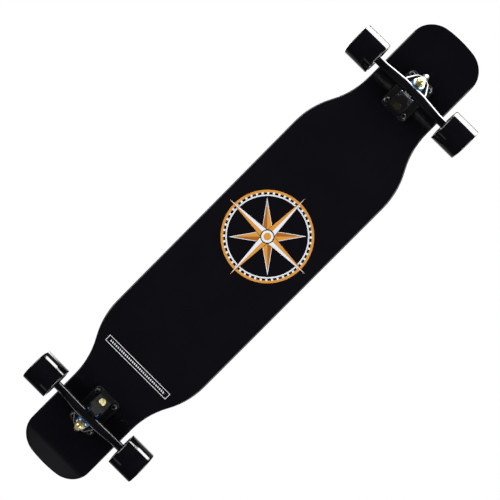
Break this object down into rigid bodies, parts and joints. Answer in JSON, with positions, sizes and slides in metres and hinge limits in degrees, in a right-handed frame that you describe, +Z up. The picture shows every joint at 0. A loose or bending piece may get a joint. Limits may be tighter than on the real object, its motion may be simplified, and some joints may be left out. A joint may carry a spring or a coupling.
{
  "type": "longboard skateboard",
  "caption": "Long riding board with a kicked, waisted black deck on two leaning trucks with outboard kingpins and soft black wheels that roll on ball bearings.",
  "frame": {"origin": "on the ground under the middle of the board", "axes": "+X towards the nose, +Y to the rider's left when facing the nose, +Z up"},
  "size_m": [1.086, 0.261, 0.1213],
  "materials": {
    "deck_lacquer": "black lacquered maple plies",
    "grip_grit": "black abrasive grit sheet",
    "truck_paint": "gloss black painted casting",
    "bright_steel": "ground steel",
    "nut_steel": "zinc plated",
    "black_steel": "black oxide",
    "gold_plate": "yellow zinc",
    "blue_urethane": "cast urethane",
    "cup_urethane": "cast urethane",
    "black_urethane": "glossy cast urethane",
    "core_plastic": "moulded",
    "shield_plastic": "moulded"
  },
  "bodies": {
    "board": {"deck": "deck_lacquer", "grip_tape": "grip_grit", "nose_baseplate": "truck_paint", "nose_kingpin": "bright_steel", "nose_board_side_bushing": "blue_urethane", "nose_road_side_bushing": "blue_urethane", "nose_bushing_washers": "bright_steel", "nose_kingpin_nut": "gold_plate", "nose_pivot_cup": "cup_urethane", "nose_pivot_plug": "gold_plate", "nose_mounting_bolts": "black_steel", "nose_mounting_nuts": "nut_steel", "tail_baseplate": "truck_paint", "tail_kingpin": "bright_steel", "tail_board_side_bushing": "blue_urethane", "tail_road_side_bushing": "blue_urethane", "tail_bushing_washers": "bright_steel", "tail_kingpin_nut": "gold_plate", "tail_pivot_cup": "cup_urethane", "tail_pivot_plug": "gold_plate", "tail_mounting_bolts": "black_steel", "tail_mounting_nuts": "nut_steel"},
    "nose_hanger_body": {"nose_hanger": "truck_paint", "nose_axle": "bright_steel", "nose_speed_washers": "bright_steel", "nose_axle_nuts": "nut_steel", "nose_left_bearing_inner_races": "bright_steel", "nose_left_bearing_spacer": "bright_steel", "nose_right_bearing_inner_races": "bright_steel", "nose_right_bearing_spacer": "bright_steel"},
    "tail_hanger_body": {"tail_hanger": "truck_paint", "tail_axle": "bright_steel", "tail_speed_washers": "bright_steel", "tail_axle_nuts": "nut_steel", "tail_left_bearing_inner_races": "bright_steel", "tail_left_bearing_spacer": "bright_steel", "tail_right_bearing_inner_races": "bright_steel", "tail_right_bearing_spacer": "bright_steel"},
    "nose_left_wheel": {"nose_left_wheel_tyre": "black_urethane", "nose_left_wheel_core": "core_plastic", "nose_left_bearing_outer_races": "bright_steel", "nose_left_bearing_shields": "shield_plastic"},
    "nose_left_ball_set": {"nose_left_bearing_balls": "bright_steel"},
    "nose_right_wheel": {"nose_right_wheel_tyre": "black_urethane", "nose_right_wheel_core": "core_plastic", "nose_right_bearing_outer_races": "bright_steel", "nose_right_bearing_shields": "shield_plastic"},
    "nose_right_ball_set": {"nose_right_bearing_balls": "bright_steel"},
    "tail_left_wheel": {"tail_left_wheel_tyre": "black_urethane", "tail_left_wheel_core": "core_plastic", "tail_left_bearing_outer_races": "bright_steel", "tail_left_bearing_shields": "shield_plastic"},
    "tail_left_ball_set": {"tail_left_bearing_balls": "bright_steel"},
    "tail_right_wheel": {"tail_right_wheel_tyre": "black_urethane", "tail_right_wheel_core": "core_plastic", "tail_right_bearing_outer_races": "bright_steel", "tail_right_bearing_shields": "shield_plastic"},
    "tail_right_ball_set": {"tail_right_bearing_balls": "bright_steel"}
  },
  "joints": [
    {"name": "nose_steer", "type": "hinge", "parent": "board", "child": "nose_hanger_body", "pos_m": [0.39214, 0, 0.0356], "axis": [0.766, 0, 0.6428], "range_deg": [-15, 15], "stiffness_Nm_per_rad": 40, "deforming": ["nose_board_side_bushing", "nose_road_side_bushing"]},
    {"name": "nose_left_wheel_spin", "type": "hinge", "parent": "nose_hanger_body", "child": "nose_left_wheel", "pos_m": [0.396, 0.105, 0.031], "axis": [0, 1, 0], "continuous": true},
    {"name": "nose_left_ball_roll", "type": "hinge", "parent": "nose_hanger_body", "child": "nose_left_ball_set", "pos_m": [0.396, 0.105, 0.031], "axis": [0, 1, 0], "continuous": true},
    {"name": "nose_right_wheel_spin", "type": "hinge", "parent": "nose_hanger_body", "child": "nose_right_wheel", "pos_m": [0.396, -0.105, 0.031], "axis": [0, 1, 0], "continuous": true},
    {"name": "nose_right_ball_roll", "type": "hinge", "parent": "nose_hanger_body", "child": "nose_right_ball_set", "pos_m": [0.396, -0.105, 0.031], "axis": [0, 1, 0], "continuous": true},
    {"name": "tail_steer", "type": "hinge", "parent": "board", "child": "tail_hanger_body", "pos_m": [-0.39214, 0, 0.0356], "axis": [-0.766, 0, 0.6428], "range_deg": [-15, 15], "stiffness_Nm_per_rad": 40, "deforming": ["tail_board_side_bushing", "tail_road_side_bushing"]},
    {"name": "tail_left_wheel_spin", "type": "hinge", "parent": "tail_hanger_body", "child": "tail_left_wheel", "pos_m": [-0.396, 0.105, 0.031], "axis": [0, 1, 0], "continuous": true},
    {"name": "tail_left_ball_roll", "type": "hinge", "parent": "tail_hanger_body", "child": "tail_left_ball_set", "pos_m": [-0.396, 0.105, 0.031], "axis": [0, 1, 0], "continuous": true},
    {"name": "tail_right_wheel_spin", "type": "hinge", "parent": "tail_hanger_body", "child": "tail_right_wheel", "pos_m": [-0.396, -0.105, 0.031], "axis": [0, 1, 0], "continuous": true},
    {"name": "tail_right_ball_roll", "type": "hinge", "parent": "tail_hanger_body", "child": "tail_right_ball_set", "pos_m": [-0.396, -0.105, 0.031], "axis": [0, 1, 0], "continuous": true}
  ],
  "couplings": [
    {"joint": "nose_left_ball_roll", "follows": "nose_left_wheel_spin", "ratio": 0.6306},
    {"joint": "nose_right_ball_roll", "follows": "nose_right_wheel_spin", "ratio": 0.6306},
    {"joint": "tail_left_ball_roll", "follows": "tail_left_wheel_spin", "ratio": 0.6306},
    {"joint": "tail_right_ball_roll", "follows": "tail_right_wheel_spin", "ratio": 0.6306}
  ]
}
